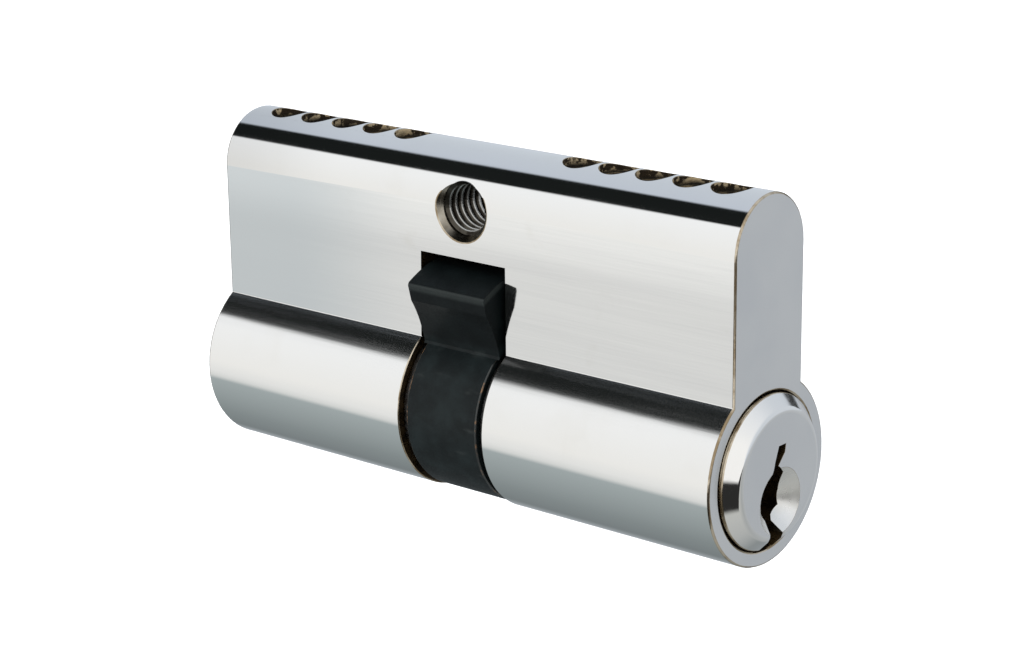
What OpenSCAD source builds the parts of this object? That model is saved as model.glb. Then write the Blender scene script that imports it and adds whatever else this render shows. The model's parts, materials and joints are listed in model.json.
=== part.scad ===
// Double euro profile cylinder: a 30 + 30 mm lock cylinder with five pins a side.
// X runs along the plug axis towards the outer end, Z runs up towards the flange, Y is across.
// The origin is on the plug axis, midway along the cam and straight below the fixing screw.

/* [Housing] */
// Length from the cam's middle to each end face
half_length = 30; // [28:0.5:36]
// Radius of the round lower barrel
barrel_r = 8.5; // [8.3:0.05:8.6]
// Thickness of the flange above the barrel
flange_w = 10; // [9.6:0.1:10.4]
// Height from the bottom of the barrel to the top of the flange
profile_h = 33; // [32:0.1:33.5]
// Width of the slot that the cam turns in
slot_w = 10; // [9.9:0.1:10.6]
// Radius of the slot's roof about the plug axis
slot_r = 15.8; // [15:0.1:16.2]

/* [Fixing screw hole] */
// Height of the hole above the plug axis
screw_z = 19.5; // [19:0.1:20]
// Radius of the M5 thread at its roots, left as a plain bore
screw_r = 2.5; // [2.1:0.05:2.55]
// Radius of the chamfered rim on both faces of the flange
screw_rim_r = 3; // [2.7:0.05:3.2]
// Depth of the chamfered rim
screw_rim_depth = 0.5; // [0.3:0.05:0.9]

/* [Plug] */
// Radius of the plug
plug_r = 6.45; // [6.4:0.01:6.46]
// Radius of the bore that the plug turns in
bore_r = 6.5; // [6.5:0.01:6.55]
// Radius of the plug's head
head_r = 6.95; // [6.8:0.05:7]
// Radius of the recess around the head
recess_r = 7.1; // [7.1:0.05:7.3]
// Depth of that recess
recess_depth = 1.2; // [0.8:0.1:1.5]
// How far the head stands out of the end face
head_out = 1.4; // [0.8:0.1:2]
// Size of the bevel around the head's face
head_bevel = 1.2; // [0.4:0.1:1.6]
// Radius of the dish that guides the key in
dish_r = 3; // [2.4:0.1:3.2]
// Depth of the dish
dish_depth = 1.3; // [0.6:0.1:1.4]
// Radius of the dish's floor
dish_floor_r = 0.9; // [0.5:0.1:2]
// Height of the dish's centre, below the plug axis
dish_z = -2.4; // [-3:0.1:-2]

/* [Pins] */
// Pins in each half
pin_count = 5; // [3:1:5]
// Distance between neighbouring pins
pin_pitch = 4; // [3.8:0.1:4.2]
// Distance of the first pin from the end face
first_pin = 4; // [3.8:0.1:5]
// Radius of a pin
pin_r = 1.45; // [1.4:0.01:1.46]
// Radius of a pin chamber
chamber_r = 1.5; // [1.5:0.01:1.55]
// Length of a driver pin
driver_l = 4.8; // [4:0.1:6]
// Key pin lengths, from the end face inwards
key_pin_l = [3.6, 4.3, 3.3, 4.0, 3.0]; // [3:0.1:4.8]
// Radius of the cap that closes a chamber
cap_r = 1.8; // [1.6:0.05:1.8]
// Thickness of that cap
cap_t = 1.2; // [0.8:0.1:1.3]
// Depth of the cap's top below the flange's crown
cap_recess = 0.9; // [0.8:0.1:1.4]

/* [Pin springs] */
// Radius of the spring wire
wire_r = 0.16; // [0.12:0.01:0.18]
// Radius of the coil at the middle of the wire
coil_r = 1.2; // [1.1:0.05:1.25]
// Turns in a spring
coil_turns = 8; // [6:1:9]

/* [Cam] */
// Radius of the cam's ring
ring_r = 8.3; // [8:0.1:8.4]
// Length of the ring along the plug axis
ring_l = 8.3; // [8:0.05:8.3]
// Length of the lever along the plug axis
lever_l = 9; // [8.8:0.05:9.75]
// Thickness of the lever at its tip
lever_t = 8; // [7:0.1:9]
// Thickness of the lever's neck, above the ring
neck_t = 6.7; // [6:0.1:8]
// Radius of the hollow that runs from the neck out to the tip
hollow_r = 14; // [10:0.5:20]
// Height of the neck's narrowest place above the plug axis
neck_z = 8; // [7.5:0.1:9]
// Radius that the lever's tip sweeps
lever_r = 14.5; // [14:0.1:14.8]
// Lean of the lever from straight up
lever_lean = 14.5; // [0:0.5:30]
// Radius of the fillet at the lever's root
root_fillet = 0.6; // [0.4:0.1:1.5]
// Radius of the two long corners at the lever's tip
tip_round = 0.45; // [0.2:0.05:0.8]

/* [Clutch] */
// Radius of a clutch piece's hub
hub_r = 2.9; // [2.7:0.05:3]
// Half the span of its two wings
wing_reach = 5.3; // [4.8:0.05:5.35]
// Thickness of a wing
wing_t = 2.3; // [2:0.05:2.35]
// Length of a wing along the plug axis
wing_l = 2.6; // [2.4:0.05:2.6]
// Travel of the clutch between the two halves
clutch_stroke = 1.7; // [1.6:0.05:1.75]

/* [Retaining clips] */
// Radius inside the clip
clip_in_r = 5.52; // [5.5:0.01:5.55]
// Radius outside the clip
clip_out_r = 7.8; // [7.4:0.1:8]
// Thickness of the clip
clip_t = 0.75; // [0.6:0.05:0.75]
// Angle of the clip's open mouth
clip_mouth = 100; // [80:5:120]

/* [Hidden] */
SIDES = ["outer", "inner"];
PINS = [1 : pin_count];

$fn = 96;
// Room for a part that slides or turns past another
play = 0.05;
// Overshoot of a cutter past the face it cuts
over = 1;

slot_x = slot_w / 2;
flange_y = flange_w / 2;
crown_z = profile_h - barrel_r;
crown_centre_z = crown_z - flange_y;

web_x = 2.5;
tail_x = web_x + play;
ring_x = ring_l / 2;
groove_r = clip_in_r - 0.02;
head_back_x = half_length - recess_depth + play;
head_face_x = half_length + head_out;

cap_top_z = crown_z - cap_recess;
cap_seat_z = cap_top_z - cap_t;
driver_z = bore_r + 0.02;
spring_z = driver_z + driver_l + 0.02;
spring_h = cap_seat_z - spring_z;

// The chamber's conical floor in the plug, and the tip of the key pin that stands on it
floor_z = 1;
floor_r = 0.7;
cone_h = 0.9;
tip_r = 0.6;
tip_z = floor_z + play;

// The wings of the engaged piece reach this far into the cam's web
engaged_x = 1.1;
nose_r = 2.4;
nose_bevel = 0.6;
nose_l = 1.05;
wing_slot_w = wing_t + 2 * play;
hub_bore_r = hub_r + 0.2;
clutch_room_x = engaged_x + wing_l + clutch_stroke + 0.1;
nose_gap = 0.02;
// Where the noses of the two clutch pieces meet, which is half the travel off the middle
meet_x = -clutch_stroke / 2;
hub_front_x = meet_x + nose_l;

// The keyway, seen from outside: warded on both sides and open below
KEYWAY = [
    [-0.3, 2.65], [0.75, 2.65], [0.6, 1.9], [-0.35, 0.9], [0.8, 0], [1.15, -1.8], [1.1, -3.2],
    [0, -3.8], [-0.3, -4.2], [0.5, -5.4], [0.6, -8], [-1.4, -8], [-1.4, -3.9], [-2.3, -3],
    [-2.3, -1.6], [-1, 0.7], [-0.8, 1.4]
];

function pin_x(i) = half_length - first_pin - (i - 1) * pin_pitch;

// A half's parts are drawn on the outer side, and turned about Z for the inner side
module on_side(side) {
    rotate([0, 0, side == "outer" ? 0 : 180]) children();
}

// Turns a solid that was drawn along Z so that it lies along X
module along_x() {
    rotate([90, 0, 90]) children();
}

// A turned solid on the X axis, from points given as [radius, x]
module turned(points) {
    along_x() rotate_extrude() polygon(points);
}

// ---- housing ----

module euro_outline() {
    circle(r = barrel_r);
    translate([-flange_y, 0]) square([flange_w, crown_centre_z]);
    translate([0, crown_centre_z]) circle(r = flange_y);
}

module screw_hole() {
    neck_y = flange_y - screw_rim_depth;
    translate([0, 0, screw_z]) rotate([90, 0, 0]) rotate_extrude()
        polygon([[0, -flange_y - over], [screw_rim_r, -flange_y - over], [screw_rim_r, -flange_y],
                 [screw_r, -neck_y], [screw_r, neck_y], [screw_rim_r, flange_y],
                 [screw_rim_r, flange_y + over], [0, flange_y + over]]);
}

// One half's bore, head recess and pin chambers
module half_bores() {
    start_x = slot_x - over;
    recess_x = half_length - recess_depth;
    end_x = half_length + over;
    turned([[0, start_x], [bore_r, start_x], [bore_r, recess_x], [recess_r, recess_x],
            [recess_r, end_x], [0, end_x]]);
    for (i = PINS) translate([pin_x(i), 0, 0]) rotate_extrude()
        polygon([[0, 0], [chamber_r, 0], [chamber_r, cap_seat_z], [cap_r, cap_seat_z],
                 [cap_r, crown_z + over], [0, crown_z + over]]);
}

module housing() {
    color("gainsboro") difference() {
        translate([-half_length, 0, 0])
            along_x() linear_extrude(2 * half_length) euro_outline();
        translate([-slot_x, 0, 0])
            along_x() cylinder(r = slot_r, h = slot_w);
        screw_hole();
        for (side = SIDES) on_side(side) half_bores();
    }
}

// ---- plugs ----

module key_pin_chamber() {
    translate([0, 0, floor_z]) cylinder(r1 = floor_r, r2 = chamber_r, h = cone_h);
    translate([0, 0, floor_z + cone_h]) cylinder(r = chamber_r, h = plug_r);
}

module plug_blank() {
    turned([[0, tail_x], [plug_r, tail_x], [plug_r, ring_x], [groove_r, ring_x],
            [groove_r, slot_x], [plug_r, slot_x], [plug_r, head_back_x],
            [head_r, head_back_x], [head_r, head_face_x - head_bevel],
            [head_r - head_bevel, head_face_x], [0, head_face_x]]);
}

module clutch_room() {
    turned([[0, 0], [hub_bore_r, 0], [hub_bore_r, clutch_room_x], [0, clutch_room_x]]);
    translate([0, -plug_r - over, -wing_slot_w / 2])
        cube([clutch_room_x, 2 * (plug_r + over), wing_slot_w]);
}

module plug(side) {
    color("silver") on_side(side) difference() {
        plug_blank();
        along_x() linear_extrude(head_face_x + over) polygon(KEYWAY);
        translate([head_face_x - dish_depth, 0, dish_z])
            along_x() cylinder(r1 = dish_floor_r, r2 = dish_r + 0.001, h = dish_depth + 0.001);
        for (i = PINS) translate([pin_x(i), 0, 0]) key_pin_chamber();
        clutch_room();
    }
}

module retaining_clip(side) {
    color("dimgray") on_side(side) translate([ring_x + play, 0, 0]) along_x()
        rotate([0, 0, clip_mouth / 2 - 90])
            rotate_extrude(angle = 360 - clip_mouth)
                translate([clip_in_r, 0]) square([clip_out_r - clip_in_r, clip_t]);
}

// ---- cam ----

// The lever's head in section, upright, before it is hollowed: flat sides and a domed tip with
// rounded corners, which stand a hair proud so that they meet side and dome at a clean crossing
module lever_head() {
    proud = 0.01;
    reach = lever_r - tip_round + proud;
    corner_y = lever_t / 2 - tip_round + proud;
    corner_z = sqrt(pow(reach, 2) - pow(corner_y, 2));
    past = 2 * tip_round;
    spread = 1 + past / reach;
    difference() {
        intersection() {
            translate([-lever_t / 2, 0]) square([lever_t, lever_r]);
            circle(r = lever_r);
        }
        for (hand = [0, 1]) mirror([hand, 0]) difference() {
            polygon([[corner_y, corner_z], [corner_y + past, corner_z],
                     [corner_y + past, corner_z + past], [corner_y * spread, corner_z * spread]]);
            translate([corner_y, corner_z]) circle(r = tip_round);
        }
    }
}

// The lever's section, upright: a head hollowed down to a neck, with two root fillets, which bite
// a little into the ring and the neck so that they meet both at a clean corner
module lever_outline() {
    bite = 0.03;
    inset = 0.5;
    side_y = neck_t / 2;
    fillet_y = side_y + root_fillet - bite;
    centre_r = ring_r + root_fillet - bite;
    fillet_z = sqrt(pow(centre_r, 2) - pow(fillet_y, 2));
    foot = (ring_r - inset) / centre_r;
    difference() {
        lever_head();
        for (hand = [-1, 1]) translate([hand * (side_y + hollow_r), neck_z]) circle(r = hollow_r);
    }
    for (hand = [0, 1]) mirror([hand, 0]) difference() {
        polygon([[side_y - inset, fillet_z], [fillet_y, fillet_z],
                 [fillet_y * foot, fillet_z * foot], [side_y - inset, fillet_z * foot - inset]]);
        translate([fillet_y, fillet_z]) circle(r = root_fillet);
    }
}

module clutch_notch() {
    turned([[0, -over - web_x], [hub_bore_r, -over - web_x],
            [hub_bore_r, over + web_x], [0, over + web_x]]);
    cube([2 * (web_x + over), 2 * (wing_reach + 0.15), wing_slot_w], center = true);
}

module cam() {
    color("dimgray") difference() {
        union() {
            translate([-ring_x, 0, 0]) along_x() cylinder(r = ring_r, h = ring_l);
            translate([-lever_l / 2, 0, 0]) rotate([lever_lean, 0, 0])
                along_x() linear_extrude(lever_l) lever_outline();
        }
        for (side = SIDES) on_side(side)
            turned([[0, web_x], [bore_r, web_x], [bore_r, ring_x], [ring_r, ring_x],
                    [ring_r, slot_x], [0, slot_x]]);
        clutch_notch();
    }
}

// ---- clutch ----

// The engaged piece, in the outer plug and the cam
module clutch_piece() {
    turned([[0, meet_x + nose_gap], [nose_r - nose_bevel, meet_x + nose_gap],
            [nose_r, meet_x + nose_bevel], [nose_r, hub_front_x], [hub_r, hub_front_x],
            [hub_r, engaged_x + wing_l], [0, engaged_x + wing_l]]);
    translate([engaged_x, -wing_reach, -wing_t / 2])
        cube([wing_l, 2 * wing_reach, wing_t]);
}

// The inner piece is the same, and stands one stroke out of the cam
module clutch(side) {
    color("darkgray") on_side(side)
        translate([side == "outer" ? 0 : clutch_stroke, 0, 0]) clutch_piece();
}

// ---- pins, springs and caps ----

module at_pin(side, i) {
    on_side(side) translate([pin_x(i), 0, 0]) children();
}

module key_pin(side, i) {
    top_z = tip_z + key_pin_l[i - 1];
    color("goldenrod") at_pin(side, i) rotate_extrude()
        polygon([[0, tip_z], [tip_r, tip_z], [pin_r, tip_z + cone_h + play],
                 [pin_r, top_z], [0, top_z]]);
}

module driver_pin(side, i) {
    edge = 0.2;
    color("goldenrod") at_pin(side, i) translate([0, 0, driver_z]) rotate_extrude()
        polygon([[0, 0], [pin_r - edge, 0], [pin_r, edge], [pin_r, driver_l - edge],
                 [pin_r - edge, driver_l], [0, driver_l]]);
}

// A spring is a wire of six flats, swept round with closed end turns
WIRE_SIDES = 6;
TURN_STEPS = 9;
RINGS = coil_turns * TURN_STEPS;
end_rise = 2.3 * wire_r;

function coil_rise(u, h) =
    u < 1 ? u * end_rise
    : u > coil_turns - 1 ? h - (coil_turns - u) * end_rise
    : end_rise + (u - 1) * (h - 2 * end_rise) / (coil_turns - 2);

function wire_point(ring, k, h) =
    let (turn = 360 * ring / TURN_STEPS, around = 360 * k / WIRE_SIDES,
         r = coil_r + wire_r * cos(around))
    [r * cos(turn), r * sin(turn), wire_r * (1 + sin(around)) + coil_rise(ring / TURN_STEPS, h)];

module pin_spring(side, i) {
    h = spring_h - 2 * wire_r;
    points = [for (ring = [0 : RINGS], k = [0 : WIRE_SIDES - 1]) wire_point(ring, k, h)];
    skin = [for (ring = [0 : RINGS - 1], k = [0 : WIRE_SIDES - 1])
        let (a = ring * WIRE_SIDES, b = a + WIRE_SIDES, n = (k + 1) % WIRE_SIDES)
        each [[a + k, b + k, b + n], [a + k, b + n, a + n]]];
    first_end = [[for (k = [0 : WIRE_SIDES - 1]) k]];
    last_end = [[for (k = [0 : WIRE_SIDES - 1]) RINGS * WIRE_SIDES + WIRE_SIDES - 1 - k]];
    color("lightsteelblue") at_pin(side, i) translate([0, 0, spring_z])
        polyhedron(points, concat(skin, first_end, last_end));
}

module chamber_cap(side, i) {
    dimple = 0.5;
    color("peru") at_pin(side, i) translate([0, 0, cap_seat_z]) rotate_extrude()
        polygon([[0, 0], [cap_r, 0], [cap_r, cap_t], [2 * dimple, cap_t], [0, cap_t - dimple]]);
}

housing();
cam();
for (side = SIDES) {
    plug(side);
    retaining_clip(side);
    clutch(side);
}
for (side = SIDES, i = PINS) {
    key_pin(side, i);
    driver_pin(side, i);
    pin_spring(side, i);
    chamber_cap(side, i);
}
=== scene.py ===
import bmesh
import bpy
import json
import math
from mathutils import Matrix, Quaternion, Vector
from mathutils.bvhtree import BVHTree


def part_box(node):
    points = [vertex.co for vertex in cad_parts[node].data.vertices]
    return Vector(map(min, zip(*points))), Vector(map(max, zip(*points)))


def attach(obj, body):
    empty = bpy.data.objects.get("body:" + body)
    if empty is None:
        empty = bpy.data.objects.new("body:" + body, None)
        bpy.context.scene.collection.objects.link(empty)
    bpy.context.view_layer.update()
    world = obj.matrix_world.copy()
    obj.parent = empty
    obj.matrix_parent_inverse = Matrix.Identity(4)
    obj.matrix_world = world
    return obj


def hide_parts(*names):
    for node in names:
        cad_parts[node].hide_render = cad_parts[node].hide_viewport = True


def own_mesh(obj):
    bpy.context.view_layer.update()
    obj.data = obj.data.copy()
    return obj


# A double euro cylinder: finishes, worn edges, thread, springs, studio and camera

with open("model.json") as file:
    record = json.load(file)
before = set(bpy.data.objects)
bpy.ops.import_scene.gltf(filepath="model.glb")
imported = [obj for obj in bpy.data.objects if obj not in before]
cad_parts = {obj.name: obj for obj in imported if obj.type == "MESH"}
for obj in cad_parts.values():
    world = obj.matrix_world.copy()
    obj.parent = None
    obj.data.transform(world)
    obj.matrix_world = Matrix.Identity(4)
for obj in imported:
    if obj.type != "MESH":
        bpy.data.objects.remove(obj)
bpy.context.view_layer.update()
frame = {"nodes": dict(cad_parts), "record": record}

MM = 0.001
SIDES = ("outer", "inner")
PINS = [f"{side}_{i}" for side in SIDES for i in range(1, 6)]

# Sizes read from the frame, in metres
HOUSING_LO, HOUSING_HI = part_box("housing")
BARREL_R = -HOUSING_LO.z
CROWN_Z = HOUSING_HI.z
HALF_LENGTH = HOUSING_HI.x
PLUG_FACE_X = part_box("plug_outer")[1].x
HEAD_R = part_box("plug_outer")[1].y
CAP_BOXES = [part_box(f"chamber_cap_{pin}") for pin in PINS]
PIN_X = [(low.x + high.x) / 2 for low, high in CAP_BOXES]
CAP_TOP_Z = CAP_BOXES[0][1].z
MOUTH_R = (CAP_BOXES[0][1].x - CAP_BOXES[0][0].x) / 2
SCREW = next(m for m in frame["record"]["mounts"] if m["name"] == "fixing_screw")
SCREW_Z = SCREW["pos_m"][2]
SCREW_R = SCREW["dims"]["r_mm"] * MM
SCREW_LENGTH = SCREW["dims"]["length_mm"] * MM

# Sizes that repeat the CAD's, where no box gives them
FLANGE_Y = 5.0 * MM
SLOT_X = 5.0 * MM
SINK_R = SCREW_R + 0.5 * MM
HEAD_OUT = 1.4 * MM
HEAD_BACK_X = HALF_LENGTH - 1.2 * MM
FACE_R = HEAD_R - 1.2 * MM
RING_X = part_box("cam")[1].x - 0.35 * MM

# Limits that sort faces and edges, each a little to one side of what it tells apart
ABOVE_SLOT_Z = CROWN_Z - 8.0 * MM
ABOVE_JUNCTION_Z = 7.0 * MM
BELOW_MOUTHS_Z = CROWN_Z - 0.8 * MM
INSIDE_BEVEL_R = 5.5 * MM
INSIDE_PLUG_R = 6.4 * MM
INSIDE_RING_R = 8.2 * MM
LEVER_HEAD_R = 10.5 * MM

# The fixing hole's M5 thread, which the CAD's plain hole leaves out
THREAD_PITCH = 0.8 * MM
THREAD_CREST_R = 2.1 * MM


# ---- shader helpers ----

class Graph:
    """A node tree written as nested calls: each call makes one node and returns its output."""

    def __init__(self, tree):
        self.tree = tree
        self.nodes = tree.nodes
        self.nodes.clear()

    def put(self, socket, value):
        if isinstance(value, bpy.types.NodeSocket):
            self.tree.links.new(value, socket)
        elif value is not None:
            socket.default_value = value

    def add(self, kind, inputs=None, **settings):
        node = self.nodes.new(kind)
        for name, value in settings.items():
            setattr(node, name, value)
        for name, value in (inputs or {}).items():
            self.put(node.inputs[name], value)
        return node

    def math(self, operation, a, b=0.0, c=0.0):
        node = self.add("ShaderNodeMath", {0: a, 1: b, 2: c}, operation=operation)
        return node.outputs[0]

    def hypot(self, a, b):
        """Length of the flat vector (a, b)."""
        squares = self.math("ADD", self.math("POWER", a, 2.0), self.math("POWER", b, 2.0))
        return self.math("SQRT", squares)

    def axes(self, vector):
        node = self.add("ShaderNodeSeparateXYZ", {0: vector})
        return node.outputs["X"], node.outputs["Y"], node.outputs["Z"]

    def vector(self, x=0.0, y=0.0, z=0.0):
        return self.add("ShaderNodeCombineXYZ", {"X": x, "Y": y, "Z": z}).outputs[0]

    def scaled(self, vector, factors):
        node = self.add("ShaderNodeVectorMath", {0: vector, 1: factors}, operation="MULTIPLY")
        return node.outputs[0]

    def noise(self, vector, scale, detail=3.0, roughness=0.5, distortion=0.0):
        inputs = {"Vector": vector, "Scale": scale, "Detail": detail,
                  "Roughness": roughness, "Distortion": distortion}
        return self.add("ShaderNodeTexNoise", inputs).outputs["Fac"]

    def span(self, value, low, high, to_low=0.0, to_high=1.0):
        """value from low..high eased onto to_low..to_high, held at both ends."""
        inputs = {"Value": value, "From Min": low, "From Max": high,
                  "To Min": to_low, "To Max": to_high}
        node = self.add("ShaderNodeMapRange", inputs, interpolation_type="SMOOTHSTEP")
        return node.outputs["Result"]

    def window(self, value, rise, fall, peak=1.0):
        """0 outside a range and peak inside it, eased over the pair rise and the pair fall."""
        return self.math("MULTIPLY", self.span(value, *rise, 0.0, peak),
                         self.span(value, *fall, 1.0, 0.0))

    def mix(self, factor, a, b, blend="MIX"):
        """Mixes colours: the node has theirs at inputs 6 and 7, and the result at output 2."""
        node = self.add("ShaderNodeMix", data_type="RGBA", blend_type=blend)
        self.put(node.inputs[0], factor)
        self.put(node.inputs[6], a)
        self.put(node.inputs[7], b)
        return node.outputs[2]

    def times(self, colour, factor):
        """colour multiplied by one number."""
        return self.mix(1.0, colour, self.vector(factor, factor, factor), blend="MULTIPLY")

    def ramp(self, factor, stops):
        node = self.add("ShaderNodeValToRGB", {"Fac": factor})
        elements = node.color_ramp.elements
        while len(elements) < len(stops):
            elements.new(0.5)
        for element, (place, colour) in zip(elements, stops):
            element.position = place
            element.color = (*colour, 1.0)
        return node.outputs["Color"]

    def bump(self, height, distance, strength):
        inputs = {"Height": height, "Distance": distance, "Strength": strength}
        return self.add("ShaderNodeBump", inputs).outputs["Normal"]


def material(name, paint):
    """A material whose graph is drawn by paint(graph, place), which returns the shader's inputs."""
    made = bpy.data.materials.new(name)
    made.use_nodes = True
    graph = Graph(made.node_tree)
    place = graph.add("ShaderNodeTexCoord").outputs["Object"]
    inputs = paint(graph, place)
    shader = graph.add("ShaderNodeBsdfPrincipled", inputs)
    graph.add("ShaderNodeOutputMaterial", {"Surface": shader.outputs[0]})
    return made


def grey(value):
    return (value, value, value, 1.0)


# ---- materials ----

# Where a finish changes over on the object, and where painted shade and painted light do: each pair
# is where that starts and ends
CORNER_RISE_Z = (3.2 * MM, 4.6 * MM)
CORNER_FALL_Z = (6.9 * MM, 7.2 * MM)
CROWN_FROM_Z = (17.0 * MM, 20.0 * MM)
CROWN_PAINTED_SHADE_X = (-30.0 * MM, -14.0 * MM)
FLANGE_PAINTED_REFLECTION_X = (-22.0 * MM, -4.0 * MM)
FLANGE_PAINTED_LIGHT_Z = (14.0 * MM, CROWN_Z - 4.9 * MM)
SINK_SHADE_Z = (SCREW_Z - 2.6 * MM, SCREW_Z - 1.0 * MM)
LEVER_FROM_R = (8.6 * MM, 9.4 * MM)
TIP_HIGHLIGHT_RISE_R = (13.7 * MM, 14.1 * MM)
TIP_HIGHLIGHT_FALL_R = (14.40 * MM, 14.48 * MM)


def paint_polished(g, place):
    """Mirror nickel: orange peel, hairlines, a rough strip where barrel meets flange, and painted
    shade that darkens the crown towards its far end.
    """
    x, _, z = g.axes(place)
    peel = g.noise(place, 260.0, detail=2.0)
    hair = g.noise(g.scaled(place, (60.0, 2400.0, 2400.0)), 1.0, detail=2.0)
    buffed = g.noise(g.scaled(place, (45.0, 900.0, 900.0)), 1.0, detail=3.0, roughness=0.6)
    stain = g.noise(place, 90.0, detail=4.0, roughness=0.6)
    corner = g.window(z, CORNER_RISE_Z, CORNER_FALL_Z)
    colour = g.mix(g.span(stain, 0.55, 0.8), (0.80, 0.795, 0.775, 1.0), (0.77, 0.76, 0.73, 1.0))
    # Painted shade: the crown darkens towards its far end
    far = g.math("MULTIPLY", g.span(z, *CROWN_FROM_Z), g.span(x, *CROWN_PAINTED_SHADE_X, 0.25, 0.0))
    colour = g.mix(far, colour, (0.30, 0.30, 0.30, 1.0))
    rough = g.math("MULTIPLY_ADD", corner, 0.10, g.span(hair, 0.35, 0.7, 0.045, 0.085))
    height = g.math("MULTIPLY_ADD", buffed, g.math("MULTIPLY_ADD", corner, 1.8, 0.03),
                    g.math("MULTIPLY", peel, 0.15))
    normal = g.bump(height, 0.006 * MM, 0.5)
    return {"Base Color": colour, "Metallic": 1.0, "Roughness": rough, "Normal": normal}


def paint_brushed(g, place):
    """Linished flat of the flange: long fine lines along X and warm stains, with a painted cool
    reflection towards its far end and painted light towards its top.
    """
    x, _, z = g.axes(place)
    lines = g.noise(g.scaled(place, (70.0, 5200.0, 5200.0)), 1.0, detail=4.0, roughness=0.65)
    broad = g.noise(g.scaled(place, (18.0, 700.0, 700.0)), 1.0, detail=3.0, roughness=0.6)
    stain = g.noise(place, 120.0, detail=5.0, roughness=0.65, distortion=0.4)
    tone = g.mix(g.span(broad, 0.3, 0.7), (0.655, 0.655, 0.645, 1.0), (0.70, 0.70, 0.685, 1.0))
    tone = g.mix(g.span(lines, 0.35, 0.75, 0.0, 0.5), tone, (0.75, 0.745, 0.73, 1.0))
    tone = g.mix(g.span(stain, 0.56, 0.75, 0.0, 0.35), tone, (0.60, 0.585, 0.54, 1.0))
    # Painted reflection: a cool tint towards the flange's far end
    tone = g.mix(g.span(x, *FLANGE_PAINTED_REFLECTION_X, 0.85, 0.0), tone, (0.515, 0.55, 0.565, 1.0))
    # Painted light: the flange brightens towards its top
    tone = g.times(tone, g.span(z, *FLANGE_PAINTED_LIGHT_Z, 0.98, 1.15))
    rough = g.span(lines, 0.25, 0.75, 0.05, 0.10)
    height = g.math("MULTIPLY_ADD", broad, 0.6, g.math("MULTIPLY", lines, 0.7))
    normal = g.bump(height, 0.0012 * MM, 0.5)
    return {"Base Color": tone, "Metallic": 1.0, "Roughness": rough, "Normal": normal}


def paint_end_face(g, place):
    """Turned and plated end face: even satin nickel with very fine marks."""
    marks = g.noise(g.scaled(place, (600.0, 3200.0, 900.0)), 1.0, detail=3.0, roughness=0.6)
    cloud = g.noise(place, 160.0, detail=3.0)
    tone = g.mix(g.span(cloud, 0.3, 0.75), (0.745, 0.75, 0.755, 1.0), (0.79, 0.79, 0.785, 1.0))
    rough = g.span(marks, 0.3, 0.7, 0.14, 0.22)
    normal = g.bump(marks, 0.002 * MM, 0.4)
    return {"Base Color": tone, "Metallic": 1.0, "Roughness": rough, "Normal": normal}


def paint_edge(g, place):
    """Worn edge, where the plating is thin and the brass shows through in places."""
    wear = g.noise(place, 380.0, detail=5.0, roughness=0.6)
    colour = g.mix(g.span(wear, 0.40, 0.60), (0.58, 0.51, 0.40, 1.0), (0.29, 0.22, 0.135, 1.0))
    rough = g.span(wear, 0.3, 0.7, 0.14, 0.3)
    return {"Base Color": colour, "Metallic": 1.0, "Roughness": rough}


def paint_bare_brass(g, place):
    """Drilled or broached brass that took no plating, near black as painted shade in the recesses
    it lines, with a faint random speckle.
    """
    rings = g.noise(g.scaled(place, (300.0, 300.0, 5200.0)), 1.0, detail=2.0)
    speckle = g.noise(place, 800.0, detail=5.0, roughness=0.65)
    # Painted shade: the brass near black in the recesses
    colour = g.mix(g.span(speckle, 0.38, 0.66), (0.060, 0.038, 0.016, 1.0), (0.014, 0.010, 0.006, 1.0))
    rough = g.span(rings, 0.3, 0.7, 0.22, 0.42)
    normal = g.bump(rings, 0.012 * MM, 0.7)
    return {"Base Color": colour, "Metallic": 0.8, "Roughness": rough, "Normal": normal}


def paint_chamber(g, place):
    """Wall of a pin chamber: brass with painted glints at the mouth, falling to near black further
    down as painted shade.
    """
    _, _, z = g.axes(place)
    rings = g.noise(g.scaled(place, (300.0, 300.0, 5200.0)), 1.0, detail=2.0)
    speckle = g.noise(place, 900.0, detail=4.0, roughness=0.6)
    # Painted glints: bright brass patches among near black ones
    painted_glints = g.mix(g.span(speckle, 0.43, 0.51), (0.70, 0.57, 0.37, 1.0), (0.035, 0.026, 0.017, 1.0))
    # Painted shade: darker with depth below the mouth, along a ragged edge
    ragged = g.math("MULTIPLY_ADD", speckle, 0.8 * MM, z)
    colour = g.mix(g.span(ragged, CAP_TOP_Z + 0.35 * MM, CROWN_Z + 0.1 * MM),
                   (0.014, 0.013, 0.011, 1.0), painted_glints)
    rough = g.span(rings, 0.3, 0.7, 0.18, 0.36)
    normal = g.bump(rings, 0.008 * MM, 0.6)
    return {"Base Color": colour, "Metallic": 0.5, "Roughness": rough, "Normal": normal}


def paint_cap(g, place):
    """Pressed brass cap: brass, near black in patches as painted shade at the foot of its chamber,
    and bright in others as painted glints.
    """
    patch_noise = g.noise(place, 700.0, detail=5.0, roughness=0.6)
    oil = g.noise(place, 420.0, detail=3.0)
    # Painted shade and glints: near black with bright brass patches
    colour = g.mix(g.span(patch_noise, 0.44, 0.62), (0.030, 0.023, 0.015, 1.0), (0.62, 0.49, 0.29, 1.0))
    rough = g.span(oil, 0.3, 0.7, 0.16, 0.34)
    return {"Base Color": colour, "Metallic": 0.9, "Roughness": rough,
            "Normal": g.bump(patch_noise, 0.02 * MM, 0.8)}


def paint_dish(g, place):
    """Dish that guides the key in: smooth satin nickel."""
    grain = g.noise(place, 1500.0, detail=2.0)
    cloud = g.noise(place, 400.0, detail=3.0)
    colour = g.mix(g.span(cloud, 0.35, 0.7), (0.84, 0.83, 0.80, 1.0), (0.78, 0.765, 0.72, 1.0))
    rough = g.span(grain, 0.3, 0.7, 0.26, 0.34)
    return {"Base Color": colour, "Metallic": 1.0, "Roughness": rough}


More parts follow.
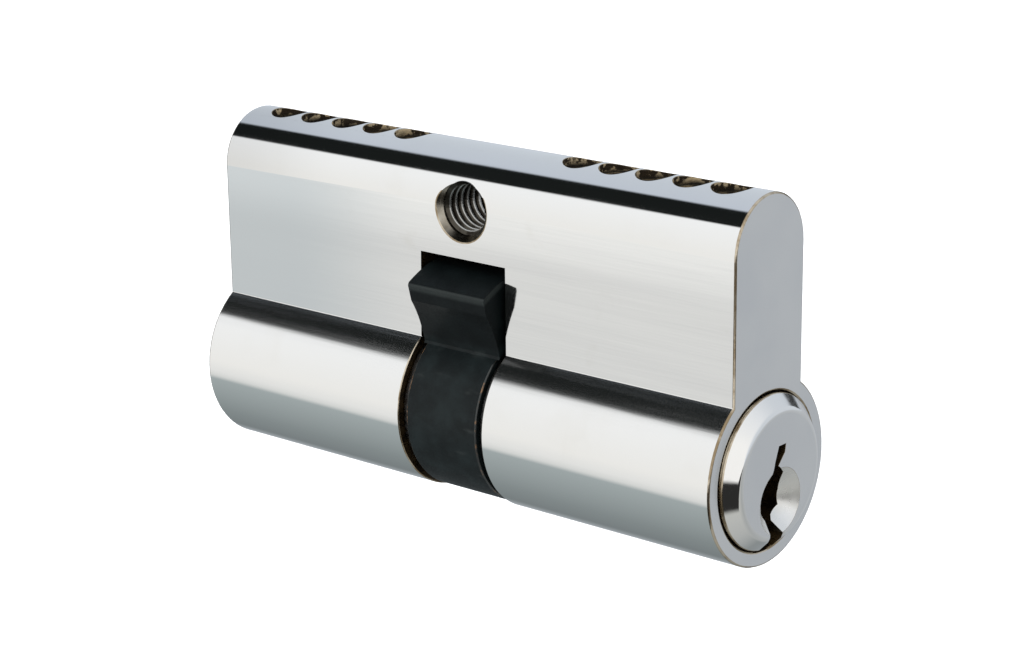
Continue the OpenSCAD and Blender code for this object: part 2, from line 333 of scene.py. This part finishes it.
def paint_countersink(g, place):
    """Countersink of the fixing hole: turned metal in a random oily tone, darker towards its foot
    as painted shade.
    """
    _, _, z = g.axes(place)
    marks = g.noise(g.scaled(place, (900.0, 5200.0, 900.0)), 1.0, detail=3.0)
    oil = g.noise(place, 700.0, detail=4.0)
    colour = g.mix(g.span(oil, 0.35, 0.7), (0.42, 0.39, 0.33, 1.0), (0.24, 0.21, 0.16, 1.0))
    # Painted shade: darker towards the countersink's lower side
    colour = g.times(colour, g.span(z, *SINK_SHADE_Z, 0.35, 1.0))
    rough = g.span(marks, 0.3, 0.7, 0.20, 0.32)
    return {"Base Color": colour, "Metallic": 1.0, "Roughness": rough,
            "Normal": g.bump(marks, 0.003 * MM, 0.5)}


def paint_thread(g, place):
    """Cut thread: bright crests, and flanks near black as painted shade in the grooves, in a random
    tone.
    """
    x, _, z = g.axes(place)
    radius = g.hypot(x, g.math("SUBTRACT", z, SCREW_Z))
    crest = g.span(radius, THREAD_CREST_R + 0.02 * MM, THREAD_CREST_R + 0.12 * MM, 1.0, 0.0)
    oil = g.noise(place, 1400.0, detail=3.0)
    # Painted shade: the flanks near black in the thread's grooves
    flank = g.mix(g.span(oil, 0.4, 0.65), (0.075, 0.068, 0.055, 1.0), (0.035, 0.03, 0.024, 1.0))
    colour = g.mix(crest, flank, (0.50, 0.50, 0.48, 1.0))
    return {"Base Color": colour, "Metallic": 1.0, "Roughness": g.span(oil, 0.3, 0.7, 0.2, 0.34)}


def paint_black(g, place):
    """Black finish on sintered steel: fine grain and faint streaks, painted shade that darkens the
    lever, and a painted highlight at the lever's tip.
    """
    grain = g.noise(place, 5200.0, detail=3.0, roughness=0.6)
    cloud = g.noise(place, 420.0, detail=4.0, roughness=0.6)
    patch_noise = g.noise(g.scaled(place, (260.0, 900.0, 900.0)), 1.0, detail=3.0)
    _, y, z = g.axes(place)
    radius = g.hypot(y, z)
    lever = g.span(radius, *LEVER_FROM_R, 0.0, 0.6)
    # Painted highlight: a lighter band at the lever's tip corner
    tip_highlight = g.window(radius, TIP_HIGHLIGHT_RISE_R, TIP_HIGHLIGHT_FALL_R, peak=0.6)
    colour = g.mix(g.span(cloud, 0.3, 0.75), (0.0035, 0.0052, 0.0055, 1.0),
                   (0.0075, 0.0115, 0.012, 1.0))
    colour = g.mix(g.span(patch_noise, 0.62, 0.8, 0.0, 0.5), colour, (0.025, 0.029, 0.028, 1.0))
    # Painted shade: the lever darker than the ring
    colour = g.mix(lever, colour, (0.001, 0.0015, 0.0017, 1.0))
    colour = g.mix(tip_highlight, colour, (0.024, 0.029, 0.028, 1.0))
    rough = g.span(grain, 0.3, 0.7, 0.36, 0.50)
    normal = g.bump(grain, 0.006 * MM, 0.5)
    return {"Base Color": colour, "Roughness": rough, "Specular IOR Level": 0.13, "Normal": normal}


def paint_black_edge(g, place):
    """Rim of the black finish, rubbed through to copper brown in places."""
    wear = g.noise(place, 700.0, detail=4.0, roughness=0.6)
    colour = g.mix(g.span(wear, 0.50, 0.64), (0.035, 0.038, 0.037, 1.0), (0.20, 0.115, 0.06, 1.0))
    rough = g.span(wear, 0.3, 0.7, 0.38, 0.26)
    return {"Base Color": colour, "Roughness": rough, "Metallic": 0.35}


def paint_steel(tone):
    """Steel of a given grey: fine marks and oil that darkens it in patches."""
    def paint(g, place):
        marks = g.noise(g.scaled(place, (2600.0, 500.0, 2600.0)), 1.0, detail=3.0)
        oil = g.noise(place, 500.0, detail=4.0)
        colour = g.mix(g.span(oil, 0.35, 0.7), grey(tone), grey(tone * 0.6))
        rough = g.span(marks, 0.3, 0.7, 0.22, 0.38)
        return {"Base Color": colour, "Metallic": 1.0, "Roughness": rough,
                "Normal": g.bump(marks, 0.004 * MM, 0.5)}
    return paint


def paint_turned_brass(g, place):
    """Turned brass pin: fine rings and a slight tarnish."""
    rings = g.noise(g.scaled(place, (200.0, 200.0, 9000.0)), 1.0, detail=2.0)
    tarnish = g.noise(place, 600.0, detail=4.0)
    colour = g.mix(g.span(tarnish, 0.4, 0.7), (0.76, 0.56, 0.25, 1.0), (0.55, 0.38, 0.15, 1.0))
    rough = g.span(rings, 0.3, 0.7, 0.16, 0.30)
    return {"Base Color": colour, "Metallic": 1.0, "Roughness": rough,
            "Normal": g.bump(rings, 0.006 * MM, 0.6)}


POLISHED = material("nickel_polished", paint_polished)
BRUSHED = material("nickel_brushed", paint_brushed)
END_FACE = material("nickel_satin", paint_end_face)
EDGE = material("nickel_worn_edge", paint_edge)
BARE_BRASS_PAINTED_SHADE = material("bare_brass_painted_shade", paint_bare_brass)
CHAMBER = material("chamber_wall", paint_chamber)
CAP_BRASS = material("cap_brass", paint_cap)
DISH = material("nickel_dish", paint_dish)
COUNTERSINK = material("countersink", paint_countersink)
THREAD = material("thread_metal", paint_thread)
BLACK = material("black_finish", paint_black)
BLACK_EDGE = material("black_worn_edge", paint_black_edge)
CLIP_STEEL = material("clip_steel", paint_steel(0.16))
CLUTCH_STEEL = material("clutch_steel", paint_steel(0.45))
SPRING_WIRE = material("spring_wire", paint_steel(0.6))
PIN_BRASS = material("pin_brass", paint_turned_brass)


# ---- turning CAD nodes into finished meshes ----

SHARP = math.radians(28.0)
FLAT = math.radians(0.05)
WELD = 0.0005 * MM
ON_SURFACE = 0.004 * MM
SLIVER = 1e-24
SAME_FACE = math.cos(math.radians(20.0))


def piece_from(bm, name, looks):
    """The object made of a bmesh, which it uses up."""
    mesh = bpy.data.meshes.new(name)
    bm.to_mesh(mesh)
    bm.free()
    for look in looks:
        mesh.materials.append(look)
    piece = bpy.data.objects.new(name, mesh)
    bpy.context.scene.collection.objects.link(piece)
    return piece


def finished(name, node, rounds, looks, pick):
    """A copy of a CAD node with rounded edges, true surface normals and a look per face.

    rounds lists (width, segments, look, test): each sharp edge takes the first round whose
    test(middle) is true, and stays sharp if none is. pick(centre, normal) gives a face's look.
    """
    source = frame["nodes"][node].data
    bm = bmesh.new()
    bm.from_mesh(source)
    bmesh.ops.remove_doubles(bm, verts=bm.verts, dist=WELD)
    bmesh.ops.dissolve_limit(bm, angle_limit=FLAT, verts=bm.verts, edges=bm.edges)
    bm.normal_update()
    for face in bm.faces:
        face.smooth = True
        face.material_index = looks.index(pick(face.calc_center_median(), face.normal))
    order = bm.edges.layers.int.new("round")
    sharp = [e for e in bm.edges if len(e.link_faces) == 2 and e.calc_face_angle(0.0) > SHARP]
    for edge in sharp:
        middle = (edge.verts[0].co + edge.verts[1].co) / 2
        edge[order] = next((k for k, r in enumerate(rounds, start=1) if r[3](middle)), 0)
    for k, (width, segments, look, _) in enumerate(rounds, start=1):
        edges = [e for e in bm.edges if e[order] == k and len(e.link_faces) == 2]
        bmesh.ops.bevel(bm, geom=edges, offset=width, offset_type="OFFSET", affect="EDGES",
                        segments=segments, profile=0.5, clamp_overlap=True, loop_slide=True,
                        material=looks.index(look))
    piece = piece_from(bm, name, looks)
    true_normals(piece.data, source)
    return piece


def true_normals(mesh, source):
    """Gives every corner on a CAD surface that surface's normal, so that curves reflect cleanly."""
    source.calc_loop_triangles()
    corners = [v.co for v in source.vertices]
    faces = [tuple(t.vertices) for t in source.loop_triangles]
    loops = [tuple(t.loops) for t in source.loop_triangles]
    flats = [t.normal.copy() for t in source.loop_triangles]
    normals = [Vector(n.vector) for n in source.corner_normals]
    tree = BVHTree.FromPolygons(corners, faces)
    fitted = [None] * len(mesh.loops)
    for face in mesh.polygons:
        for k in face.loop_indices:
            vertex = mesh.vertices[mesh.loops[k].vertex_index]
            touching = [hit[2] for hit in tree.find_nearest_range(vertex.co, ON_SURFACE)]
            index = max(touching, key=lambda i: flats[i].dot(face.normal), default=None)
            if index is None:
                fitted[k] = vertex.normal.copy()
            elif flats[index].dot(face.normal) < SAME_FACE:
                fitted[k] = face.normal.copy()
            else:
                weights = barycentric(vertex.co, *(corners[i] for i in faces[index]))
                blend = sum((normals[j] * w for j, w in zip(loops[index], weights)), Vector())
                fitted[k] = blend.normalized()
    mesh.normals_split_custom_set(fitted)


def barycentric(p, a, b, c):
    """Weights of a triangle's corners a, b and c at the point p, or of a alone in a sliver."""
    ab, ac, ap = b - a, c - a, p - a
    d00, d01, d11 = ab.dot(ab), ab.dot(ac), ac.dot(ac)
    d20, d21 = ap.dot(ab), ap.dot(ac)
    area = d00 * d11 - d01 * d01
    if area < SLIVER:
        return 1.0, 0.0, 0.0
    v = (d11 * d20 - d01 * d21) / area
    w = (d00 * d21 - d01 * d20) / area
    return 1.0 - v - w, v, w


def stand_for(piece, node, body):
    """Lets a piece take a CAD node's place on a body."""
    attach(piece, body)
    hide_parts(node)


def skin(bm, rings, smooth):
    """Joins rings of vertices into a tube with closed ends."""
    for one, two in zip(rings, rings[1:]):
        for k in range(len(one)):
            n = (k + 1) % len(one)
            bm.faces.new((one[k], two[k], two[n], one[n])).smooth = smooth
    bm.faces.new(rings[0])
    bm.faces.new(rings[-1][::-1])
    bmesh.ops.recalc_face_normals(bm, faces=bm.faces)


def near(value, target, slack=0.05 * MM):
    """Whether value lies within slack of target."""
    return abs(value - target) < slack


# ---- housing ----

HOUSING_LOOKS = [EDGE, POLISHED, BRUSHED, END_FACE, BARE_BRASS_PAINTED_SHADE, CHAMBER, COUNTERSINK]


def housing_look(centre, normal):
    """Flats are brushed, end faces satin, the insides bare brass darkened by painted shade, and the
    rest polished.
    """
    if abs(normal.x) > 0.99 and abs(centre.x) > HALF_LENGTH - 0.05 * MM:
        return END_FACE
    if abs(normal.y) > 0.999 and near(abs(centre.y), FLANGE_Y):
        return BRUSHED
    if any(math.hypot(centre.x - x, centre.y) < MOUTH_R + 0.02 * MM for x in PIN_X):
        if abs(normal.z) < 0.4:
            return CHAMBER
    inward = centre.x * normal.x + (centre.z - SCREW_Z) * normal.z < 0
    if inward and math.hypot(centre.x, centre.z - SCREW_Z) < SINK_R + 0.02 * MM:
        return COUNTERSINK
    if centre.z < CROWN_Z - FLANGE_Y and math.hypot(centre.y, centre.z) < BARREL_R - 0.1 * MM:
        return BARE_BRASS_PAINTED_SHADE
    if abs(centre.x) < SLOT_X + 0.2 * MM and abs(centre.y) < FLANGE_Y and centre.z < ABOVE_SLOT_Z:
        return BARE_BRASS_PAINTED_SHADE
    return POLISHED


# Tests of an edge's middle, for the rounds

def on_end_face(middle):
    return abs(middle.x) > HALF_LENGTH - 0.01 * MM


def on_slot_side(middle):
    return near(abs(middle.x), SLOT_X, 0.02 * MM) and middle.z < ABOVE_SLOT_Z


def on_screw_rim(middle):
    away = math.hypot(middle.x, middle.z - SCREW_Z)
    return SINK_R - 0.2 * MM < away < SINK_R + 0.1 * MM


def on_mouth(middle):
    return middle.z > BELOW_MOUTHS_Z


def on_junction(middle):
    return near(abs(middle.y), FLANGE_Y, 0.01 * MM) and middle.z < ABOVE_JUNCTION_Z


def on_slot_roof(middle):
    return abs(middle.x) < SLOT_X and near(abs(middle.y), FLANGE_Y)


HOUSING_ROUNDS = [
    (0.18 * MM, 2, EDGE, on_end_face),
    (0.09 * MM, 2, EDGE, on_slot_side),
    (0.10 * MM, 2, EDGE, on_screw_rim),
    (0.08 * MM, 2, EDGE, on_mouth),
    (0.15 * MM, 2, POLISHED, on_junction),
    (0.12 * MM, 2, EDGE, on_slot_roof),
]
housing = finished("housing_body", "housing", HOUSING_ROUNDS, HOUSING_LOOKS, housing_look)
stand_for(housing, "housing", "housing")


def thread_ridge():
    """The M5 x 0.8 thread in the fixing hole: one helical ridge with tapered ends."""
    root_r = SCREW_R + 0.04 * MM
    half_root, half_crest = 0.44 * THREAD_PITCH, 0.09 * THREAD_PITCH
    steps_a_turn = 48
    taper_steps = 0.4 * steps_a_turn
    least_height = 0.06
    length = SCREW_LENGTH + 0.3 * MM
    turns = (length - 0.75 * THREAD_PITCH) / THREAD_PITCH
    steps = int(turns * steps_a_turn)
    bm = bmesh.new()
    rings = []
    for k in range(steps + 1):
        angle = 2 * math.pi * k / steps_a_turn
        y = -turns * THREAD_PITCH / 2 + THREAD_PITCH * k / steps_a_turn
        height = max(least_height, min(1.0, k / taper_steps, (steps - k) / taper_steps))
        r = root_r - (root_r - THREAD_CREST_R) * height
        section = [(root_r, -half_root), (r, -half_crest), (r, half_crest), (root_r, half_root)]
        rings.append([bm.verts.new((q * math.cos(angle), y + dy, SCREW_Z + q * math.sin(angle)))
                      for q, dy in section])
    skin(bm, rings, smooth=False)
    return piece_from(bm, "fixing_thread", [THREAD])


thread = thread_ridge()
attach(thread, "housing")


# ---- plugs ----

PLUG_LOOKS = [EDGE, POLISHED, END_FACE, BARE_BRASS_PAINTED_SHADE, DISH]


def plug_look(centre, normal):
    """Satin face, polished bevel, satin dish, and bare brass darkened by painted shade in the
    keyway and chambers.
    """
    radius = math.hypot(centre.y, centre.z)
    if abs(normal.x) > 0.99 and abs(centre.x) > PLUG_FACE_X - 0.05 * MM:
        return END_FACE
    if abs(centre.x) > HEAD_BACK_X and abs(normal.x) > 0.3:
        on_bevel = radius > INSIDE_BEVEL_R and centre.y * normal.y + centre.z * normal.z > 0
        return POLISHED if on_bevel else DISH
    if abs(normal.x) < 0.5 and radius < INSIDE_PLUG_R:
        return BARE_BRASS_PAINTED_SHADE
    return POLISHED


def on_face_edge(middle):
    radius = math.hypot(middle.y, middle.z)
    return abs(middle.x) > PLUG_FACE_X - 0.05 * MM and near(radius, FACE_R)


def on_head_rim(middle):
    return near(math.hypot(middle.y, middle.z), HEAD_R)


def on_head(middle):
    return abs(middle.x) > PLUG_FACE_X - HEAD_OUT


PLUG_ROUNDS = [
    (0.45 * MM, 5, POLISHED, on_face_edge),
    (0.10 * MM, 2, EDGE, on_head_rim),
    (0.06 * MM, 2, EDGE, on_head),
]
for side in SIDES:
    plug = finished(f"plug_{side}_body", f"plug_{side}", PLUG_ROUNDS, PLUG_LOOKS, plug_look)
    stand_for(plug, f"plug_{side}", f"plug_{side}")


# ---- cam, clips, clutch, caps and pins ----

def on_lever_tip(middle):
    return math.hypot(middle.y, middle.z) > LEVER_HEAD_R


def on_ring_rim(middle):
    radius = math.hypot(middle.y, middle.z)
    return radius > INSIDE_RING_R and near(abs(middle.x), RING_X, 0.02 * MM)


def anywhere(middle):
    return True


def all_over(look):
    """A pick for finished() that gives every face one look."""
    return lambda centre, normal: look


CAM_ROUNDS = [
    (0.40 * MM, 4, BLACK, on_lever_tip),
    (0.12 * MM, 2, BLACK_EDGE, on_ring_rim),
]
cam = finished("cam_body", "cam", CAM_ROUNDS, [BLACK_EDGE, BLACK], all_over(BLACK))
stand_for(cam, "cam", "cam")


def dress(node, look):
    """A CAD node that keeps its own shape takes a finished material."""
    frame["nodes"][node].data.materials.clear()
    frame["nodes"][node].data.materials.append(look)


CLIP_ROUNDS = [(0.08 * MM, 2, CLIP_STEEL, anywhere)]
for side in SIDES:
    clip = finished(f"retaining_clip_{side}_body", f"retaining_clip_{side}",
                    CLIP_ROUNDS, [CLIP_STEEL], all_over(CLIP_STEEL))
    stand_for(clip, f"retaining_clip_{side}", f"plug_{side}")
    dress(f"clutch_{side}", CLUTCH_STEEL)

for pin in PINS:
    dress(f"key_pin_{pin}", PIN_BRASS)
    dress(f"driver_pin_{pin}", PIN_BRASS)
    dress(f"chamber_cap_{pin}", CAP_BRASS)


# ---- pin springs ----

WIRE_R = 0.16 * MM
COIL_R = 1.2 * MM
COIL_TURNS = 8
STEPS_A_TURN = 24
WIRE_SIDES = 10


def coil_rise(turns, height):
    """Height of the wire's middle after so many turns, with a nearly closed turn at each end."""
    end_rise = 2.3 * WIRE_R
    if turns < 1:
        return turns * end_rise
    if turns > COIL_TURNS - 1:
        return height - (COIL_TURNS - turns) * end_rise
    return end_rise + (turns - 1) * (height - 2 * end_rise) / (COIL_TURNS - 2)


def coil_spring(name, x, low_z, high_z):
    """Round wire wound on a coil of even pitch, cut square at its two ends."""
    height = high_z - low_z - 2 * WIRE_R
    bm = bmesh.new()
    rings = []
    for step in range(COIL_TURNS * STEPS_A_TURN + 1):
        angle = 2 * math.pi * step / STEPS_A_TURN
        z = low_z + WIRE_R + coil_rise(step / STEPS_A_TURN, height)
        ring = []
        for k in range(WIRE_SIDES):
            around = 2 * math.pi * k / WIRE_SIDES
            r = COIL_R + WIRE_R * math.cos(around)
            ring.append(bm.verts.new((x + r * math.cos(angle), r * math.sin(angle),
                                      z + WIRE_R * math.sin(around))))
        rings.append(ring)
    skin(bm, rings, smooth=True)
    return piece_from(bm, name, [SPRING_WIRE])


# Each spring's coil is wound in its CAD node's place, on the housing
for pin, pin_x in zip(PINS, PIN_X):
    node = f"pin_spring_{pin}"
    low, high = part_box(node)
    coil = coil_spring(f"{node}_coil", pin_x, low.z, high.z)
    stand_for(coil, node, "housing")
    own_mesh(coil)


# ---- studio ----

def band(degrees):
    """Place on the studio's ramp of an angle round the X axis: 0 in front, 90 overhead."""
    return (degrees + 180.0) / 360.0


# Colours round the X axis, by angle: for reflections towards -X, and for those towards +X
STUDIO_LEFT = [
    (-180, (0.54, 0.56, 0.60)),
    (-155, (0.50, 0.53, 0.57)),
    (-120, (0.215, 0.245, 0.255)),
    (-90, (0.27, 0.31, 0.32)),
    (-38, (0.42, 0.475, 0.49)),
    (-33, (0.80, 0.82, 0.82)),
    (-26, (0.93, 0.94, 0.94)),
    (-12, (1.02, 1.02, 1.01)),
    (49, (1.07, 1.09, 1.12)),
    (52, (0.012, 0.014, 0.014)),
    (84, (0.010, 0.012, 0.012)),
    (88, (0.62, 0.68, 0.78)),
    (150, (0.66, 0.72, 0.80)),
]
STUDIO_RIGHT = [
    (-180, (0.56, 0.59, 0.63)),
    (-120, (0.44, 0.46, 0.47)),
    (-64, (0.60, 0.61, 0.60)),
    (-57, (0.03, 0.03, 0.03)),
    (-17, (0.03, 0.03, 0.03)),
    (-10, (1.10, 1.10, 1.10)),
    (60, (1.10, 1.10, 1.10)),
    (110, (0.92, 0.95, 1.00)),
    (140, (0.72, 0.77, 0.84)),
]
# The reflection's x over which the left ramp gives way to the right one
LEFT_TO_RIGHT = (-0.2, 0.4)


def dark_card(g, x, place):
    """A small dark card low at the back, seen mainly in the bevel of the plug's head."""
    across = g.window(x, (-0.26, -0.22), (0.08, 0.12))
    along = g.window(place, (band(161), band(164)), (band(176), band(179)))
    return g.math("MULTIPLY", across, along)


def build_world():
    """A soft studio as seen in reflections: long panels along the X axis, with dark gaps."""
    world = bpy.data.worlds.new("studio")
    world.use_nodes = True
    g = Graph(world.node_tree)
    x, y, z = g.axes(g.add("ShaderNodeTexCoord").outputs["Generated"])
    turn = g.math("ARCTAN2", z, g.math("MULTIPLY", y, -1.0))
    place = g.math("MULTIPLY_ADD", turn, 1.0 / (2.0 * math.pi), 0.5)
    left = g.ramp(place, [(band(d), c) for d, c in STUDIO_LEFT])
    right = g.ramp(place, [(band(d), c) for d, c in STUDIO_RIGHT])
    colour = g.mix(g.span(x, *LEFT_TO_RIGHT), left, right)
    colour = g.mix(dark_card(g, x, place), colour, (0.03, 0.03, 0.03, 1.0))
    background = g.add("ShaderNodeBackground", {"Color": colour, "Strength": 1.0})
    g.add("ShaderNodeOutputWorld", {"Surface": background.outputs[0]})
    bpy.context.scene.world = world


build_world()


def area_light(name, place, size, power):
    """A soft square light aimed at the object, which doesn't show in reflections."""
    data = bpy.data.lights.new(name, "AREA")
    data.shape = "SQUARE"
    data.size = size
    data.energy = power
    lamp = bpy.data.objects.new(name, data)
    lamp.location = place
    lamp.rotation_mode = "QUATERNION"
    lamp.rotation_quaternion = (-Vector(place)).to_track_quat("-Z", "Y")
    lamp.visible_glossy = False
    bpy.context.scene.collection.objects.link(lamp)


area_light("overhead", (0.0, -0.1, 0.9), 1.2, 12.0)
area_light("left_front", (-0.6, -0.6, 0.5), 0.8, 4.0)

# Well below the part, so that no shadow shows round it
FLOOR_Z = -32.0 * MM
FLOOR_REACH = 6.0


def paint_floor(g, place):
    """Pale paper with hardly any mottle."""
    mottle = g.noise(place, 3.0, detail=2.0)
    tone = g.mix(g.span(mottle, 0.3, 0.7), grey(0.90), grey(0.92))
    return {"Base Color": tone, "Roughness": 0.9}


def build_floor():
    mesh = bpy.data.meshes.new("floor")
    corners = [(x * FLOOR_REACH, y * FLOOR_REACH, FLOOR_Z)
               for x, y in ((-1, -1), (1, -1), (1, 1), (-1, 1))]
    mesh.from_pydata(corners, [], [(0, 1, 2, 3)])
    mesh.materials.append(material("floor_paper", paint_floor))
    floor = bpy.data.objects.new("floor", mesh)
    floor.visible_glossy = False
    bpy.context.scene.collection.objects.link(floor)


build_floor()


# ---- camera ----

def build_camera():
    """The camera at the photo's angle: target is what it looks at, and back points to it."""
    azimuth, elevation, roll = math.radians(40.3), math.radians(16.5), math.radians(-0.7)
    distance, lens = 239.9 * MM, 92.14
    target = Vector((1.57 * MM, 0.0, 6.96 * MM))
    back = Vector((math.sin(azimuth) * math.cos(elevation),
                   -math.cos(azimuth) * math.cos(elevation), math.sin(elevation)))
    data = bpy.data.cameras.new("camera")
    data.lens = lens
    data.sensor_width = 36.0
    data.clip_start, data.clip_end = 0.01, 20.0
    camera = bpy.data.objects.new("camera", data)
    camera.location = target + back * distance
    camera.rotation_mode = "QUATERNION"
    camera.rotation_quaternion = (-back).to_track_quat("-Z", "Y") @ Quaternion((0, 0, 1), roll)
    bpy.context.scene.collection.objects.link(camera)
    bpy.context.scene.camera = camera


build_camera()
bpy.context.scene.view_settings.view_transform = "Standard"
bpy.context.scene.view_settings.look = "None"
